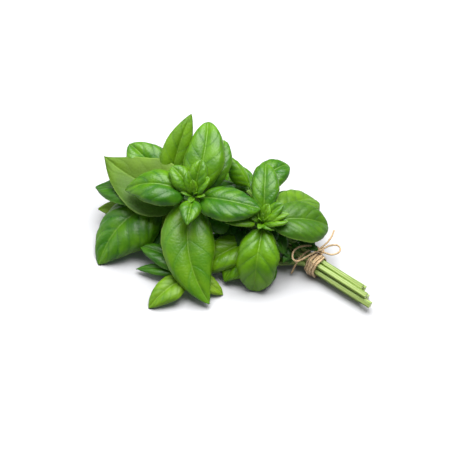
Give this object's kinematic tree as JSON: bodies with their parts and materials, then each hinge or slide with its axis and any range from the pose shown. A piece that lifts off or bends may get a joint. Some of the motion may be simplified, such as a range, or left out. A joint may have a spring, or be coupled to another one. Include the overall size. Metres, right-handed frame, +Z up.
{
  "type": "basil bunch",
  "caption": "Bunch of fresh sweet basil lying on its side: leafy sprigs with glossy oval leaves, tied near the cut stems with natural twine in a small bow.",
  "frame": {"origin": "on the surface that the bunch lies on, under the middle of its box, without the free ends of the bow", "axes": "+X along the stems towards their cut ends, +Z up from the surface"},
  "size_m": [0.2389, 0.1629, 0.0842],
  "materials": {
    "leaf": "living leaf, waxy sheen, pale veins",
    "young_leaf": "young leaf, thin and light, waxy sheen",
    "shaded_leaf": "older inner leaf, dark, waxy sheen",
    "stem": "green stem, ridged, faint sheen",
    "bud": "young bud, waxy sheen",
    "twine": "raw jute twine, matte, twisted"
  },
  "bodies": {
    "root": {"stem_a": "stem", "stem_b": "stem", "stem_c": "stem", "stem_d": "stem", "stem_e": "stem", "stem_f": "stem", "stem_g": "stem", "bud_a": "bud", "bud_b": "bud", "leaf_a_back": "leaf", "leaf_a_front": "young_leaf", "leaf_a_left": "leaf", "leaf_a_right": "leaf", "leaf_a_small_front": "young_leaf", "leaf_a_small_back": "leaf", "leaf_a_side": "leaf", "leaf_a_low_left": "young_leaf", "leaf_a_low_right": "shaded_leaf", "leaf_a_low_back": "leaf", "leaf_a_shade": "shaded_leaf", "leaf_b_front": "leaf", "leaf_b_back": "leaf", "leaf_b_right": "leaf", "leaf_b_right_back": "leaf", "leaf_b_small_right": "young_leaf", "leaf_b_small_left": "young_leaf", "leaf_b_low": "shaded_leaf", "leaf_b_low_front": "shaded_leaf", "leaf_b_shade": "shaded_leaf", "leaf_b_low_right": "shaded_leaf", "leaf_c_front": "leaf", "leaf_c_back": "leaf", "leaf_c_back_left": "leaf", "leaf_c_low_left": "shaded_leaf", "leaf_c_low_front": "young_leaf", "leaf_c_low_back": "shaded_leaf", "leaf_c_low_back_left": "leaf", "leaf_d_left": "shaded_leaf", "leaf_d_front": "young_leaf", "leaf_d_right": "young_leaf", "leaf_d_back": "shaded_leaf", "leaf_e_left": "leaf", "leaf_e_front": "leaf", "leaf_e_low": "shaded_leaf", "leaf_f_ridge": "leaf", "leaf_f_back": "young_leaf", "leaf_f_left": "leaf", "leaf_f_low": "shaded_leaf", "leaf_f_right": "shaded_leaf", "leaf_g_left": "leaf", "leaf_g_right": "leaf", "leaf_g_back": "leaf", "leaf_g_low": "shaded_leaf", "twine_wrap": "twine", "twine_knot": "twine", "twine_loop_right": "twine", "twine_tail_left": "twine", "twine_loop_left": "twine", "twine_tail_up": "twine"}
  },
  "joints": []
}
